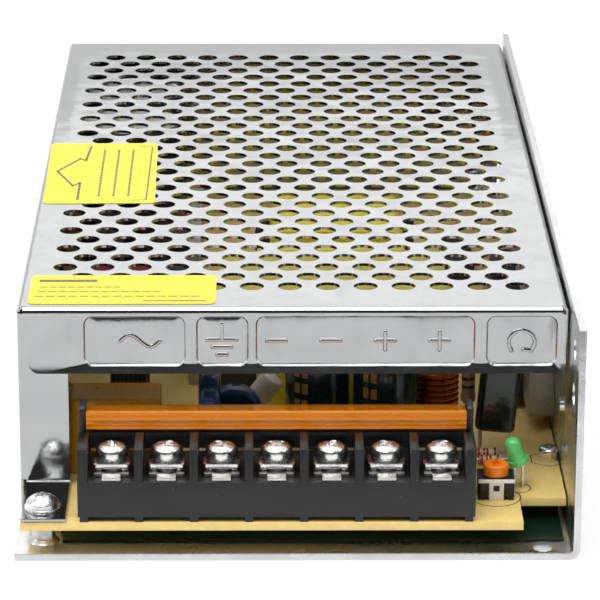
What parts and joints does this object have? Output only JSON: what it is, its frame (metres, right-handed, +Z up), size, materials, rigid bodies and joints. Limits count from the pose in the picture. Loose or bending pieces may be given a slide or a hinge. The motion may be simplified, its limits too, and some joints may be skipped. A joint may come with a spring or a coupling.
{
  "type": "enclosed switching power supply",
  "caption": "Flat sheet-metal power supply with a perforated folded cover and an open front with screw terminals, a hinged clear cover, a lamp and a trimmer.",
  "frame": {"origin": "centre of the underside of the case, on the surface that it stands on", "axes": "+X to the right seen from the terminal front, +Y from the terminal front to the rear, +Z up"},
  "size_m": [0.098, 0.199, 0.042],
  "materials": {
    "bridge_rectifier": "satin",
    "broad_sticker": "satin",
    "bulk_capacitors": "glossy",
    "chassis": "satin",
    "choke_core": "matte",
    "choke_winding": "satin",
    "clamp_plate_1": "polished",
    "clamp_plate_2": "polished",
    "clamp_plate_3": "polished",
    "clamp_plate_4": "polished",
    "clamp_plate_5": "polished",
    "clamp_plate_6": "polished",
    "clamp_plate_7": "polished",
    "component_leads": "satin",
    "control_chip": "satin",
    "cover": "polished",
    "cover_screws": "satin",
    "disc_capacitors": "satin",
    "film_capacitor": "glossy",
    "fuse": "glossy",
    "fuse_clips": "satin",
    "heat_sink": "satin",
    "heat_spreader": "satin",
    "indicator_lamp": "glossy",
    "inductor_coil": "glossy",
    "inductor_drum": "matte",
    "insulating_sheet": "satin",
    "line_filter_core": "matte",
    "line_filter_winding": "satin",
    "long_sticker": "satin",
    "output_capacitors": "glossy",
    "output_rectifiers": "satin",
    "pcb": "satin",
    "pcb_screws": "polished",
    "power_resistor": "satin",
    "power_transistors": "satin",
    "rectifier_clamp": "satin",
    "rod_choke": "satin",
    "selector_body": "satin",
    "selector_slider": "satin",
    "small_resistors": "satin",
    "standoffs": "satin",
    "terminal_cover": "glossy",
    "terminal_housing": "satin",
    "terminal_screw_1": "polished",
    "terminal_screw_2": "polished",
    "terminal_screw_3": "polished",
    "terminal_screw_4": "polished",
    "terminal_screw_5": "polished",
    "terminal_screw_6": "polished",
    "terminal_screw_7": "polished",
    "terminal_tabs": "satin",
    "transformer_bobbin": "satin",
    "transformer_core": "matte",
    "transformer_tape": "glossy",
    "transformer_winding": "satin",
    "trimmer_body": "satin",
    "trimmer_knob": "satin",
    "trimmer_yoke": "polished",
    "x_capacitor": "satin"
  },
  "bodies": {
    "case": {"bridge_rectifier": "bridge_rectifier", "broad_sticker": "broad_sticker", "bulk_capacitors": "bulk_capacitors", "chassis": "chassis", "choke_core": "choke_core", "choke_winding": "choke_winding", "component_leads": "component_leads", "control_chip": "control_chip", "cover": "cover", "cover_screws": "cover_screws", "disc_capacitors": "disc_capacitors", "film_capacitor": "film_capacitor", "fuse": "fuse", "fuse_clips": "fuse_clips", "heat_sink": "heat_sink", "heat_spreader": "heat_spreader", "indicator_lamp": "indicator_lamp", "inductor_coil": "inductor_coil", "inductor_drum": "inductor_drum", "insulating_sheet": "insulating_sheet", "line_filter_core": "line_filter_core", "line_filter_winding": "line_filter_winding", "long_sticker": "long_sticker", "output_capacitors": "output_capacitors", "output_rectifiers": "output_rectifiers", "pcb": "pcb", "pcb_screws": "pcb_screws", "power_resistor": "power_resistor", "power_transistors": "power_transistors", "rectifier_clamp": "rectifier_clamp", "rod_choke": "rod_choke", "selector_body": "selector_body", "small_resistors": "small_resistors", "standoffs": "standoffs", "terminal_housing": "terminal_housing", "terminal_tabs": "terminal_tabs", "transformer_bobbin": "transformer_bobbin", "transformer_core": "transformer_core", "transformer_tape": "transformer_tape", "transformer_winding": "transformer_winding", "trimmer_body": "trimmer_body", "trimmer_yoke": "trimmer_yoke", "x_capacitor": "x_capacitor"},
    "hinged_cover": {"terminal_cover": "terminal_cover"},
    "adjuster": {"trimmer_knob": "trimmer_knob"},
    "selector": {"selector_slider": "selector_slider"},
    "clamp_1": {"clamp_plate_1": "clamp_plate_1"},
    "screw_1": {"terminal_screw_1": "terminal_screw_1"},
    "clamp_2": {"clamp_plate_2": "clamp_plate_2"},
    "screw_2": {"terminal_screw_2": "terminal_screw_2"},
    "clamp_3": {"clamp_plate_3": "clamp_plate_3"},
    "screw_3": {"terminal_screw_3": "terminal_screw_3"},
    "clamp_4": {"clamp_plate_4": "clamp_plate_4"},
    "screw_4": {"terminal_screw_4": "terminal_screw_4"},
    "clamp_5": {"clamp_plate_5": "clamp_plate_5"},
    "screw_5": {"terminal_screw_5": "terminal_screw_5"},
    "clamp_6": {"clamp_plate_6": "clamp_plate_6"},
    "screw_6": {"terminal_screw_6": "terminal_screw_6"},
    "clamp_7": {"clamp_plate_7": "clamp_plate_7"},
    "screw_7": {"terminal_screw_7": "terminal_screw_7"}
  },
  "joints": [
    {"name": "cover_hinge", "type": "hinge", "parent": "case", "child": "hinged_cover", "pos_m": [-0.0036, -0.0864, 0.0217], "axis": [1, 0, 0], "range_deg": [0, 190]},
    {"name": "adjuster_turn", "type": "hinge", "parent": "case", "child": "adjuster", "pos_m": [0.03505, -0.0855, 0.0124], "axis": [0, 0, 1], "range_deg": [-105, 105]},
    {"name": "selector_slide", "type": "slide", "parent": "case", "child": "selector", "axis": [0, 1, 0], "range_m": [0, 0.004]},
    {"name": "clamp_lift_1", "type": "slide", "parent": "case", "child": "clamp_1", "axis": [0, 0, -1], "range_m": [-0.0024, 0]},
    {"name": "screw_turn_1", "type": "hinge", "parent": "clamp_1", "child": "screw_1", "pos_m": [-0.03218, -0.0916, 0.017], "axis": [0, 0, -1], "range_deg": [-1440, 0]},
    {"name": "clamp_lift_2", "type": "slide", "parent": "case", "child": "clamp_2", "axis": [0, 0, -1], "range_m": [-0.0024, 0]},
    {"name": "screw_turn_2", "type": "hinge", "parent": "clamp_2", "child": "screw_2", "pos_m": [-0.02265, -0.0916, 0.017], "axis": [0, 0, -1], "range_deg": [-1440, 0]},
    {"name": "clamp_lift_3", "type": "slide", "parent": "case", "child": "clamp_3", "axis": [0, 0, -1], "range_m": [-0.0024, 0]},
    {"name": "screw_turn_3", "type": "hinge", "parent": "clamp_3", "child": "screw_3", "pos_m": [-0.01312, -0.0916, 0.017], "axis": [0, 0, -1], "range_deg": [-1440, 0]},
    {"name": "clamp_lift_4", "type": "slide", "parent": "case", "child": "clamp_4", "axis": [0, 0, -1], "range_m": [-0.0024, 0]},
    {"name": "screw_turn_4", "type": "hinge", "parent": "clamp_4", "child": "screw_4", "pos_m": [-0.0036, -0.0916, 0.017], "axis": [0, 0, -1], "range_deg": [-1440, 0]},
    {"name": "clamp_lift_5", "type": "slide", "parent": "case", "child": "clamp_5", "axis": [0, 0, -1], "range_m": [-0.0024, 0]},
    {"name": "screw_turn_5", "type": "hinge", "parent": "clamp_5", "child": "screw_5", "pos_m": [0.00592, -0.0916, 0.017], "axis": [0, 0, -1], "range_deg": [-1440, 0]},
    {"name": "clamp_lift_6", "type": "slide", "parent": "case", "child": "clamp_6", "axis": [0, 0, -1], "range_m": [-0.0024, 0]},
    {"name": "screw_turn_6", "type": "hinge", "parent": "clamp_6", "child": "screw_6", "pos_m": [0.01545, -0.0916, 0.017], "axis": [0, 0, -1], "range_deg": [-1440, 0]},
    {"name": "clamp_lift_7", "type": "slide", "parent": "case", "child": "clamp_7", "axis": [0, 0, -1], "range_m": [-0.0024, 0]},
    {"name": "screw_turn_7", "type": "hinge", "parent": "clamp_7", "child": "screw_7", "pos_m": [0.02498, -0.0916, 0.017], "axis": [0, 0, -1], "range_deg": [-1440, 0]}
  ],
  "couplings": [
    {"joint": "screw_turn_1", "follows": "clamp_lift_1", "rad_per_m": 10472},
    {"joint": "screw_turn_2", "follows": "clamp_lift_2", "rad_per_m": 10472},
    {"joint": "screw_turn_3", "follows": "clamp_lift_3", "rad_per_m": 10472},
    {"joint": "screw_turn_4", "follows": "clamp_lift_4", "rad_per_m": 10472},
    {"joint": "screw_turn_5", "follows": "clamp_lift_5", "rad_per_m": 10472},
    {"joint": "screw_turn_6", "follows": "clamp_lift_6", "rad_per_m": 10472},
    {"joint": "screw_turn_7", "follows": "clamp_lift_7", "rad_per_m": 10472}
  ]
}
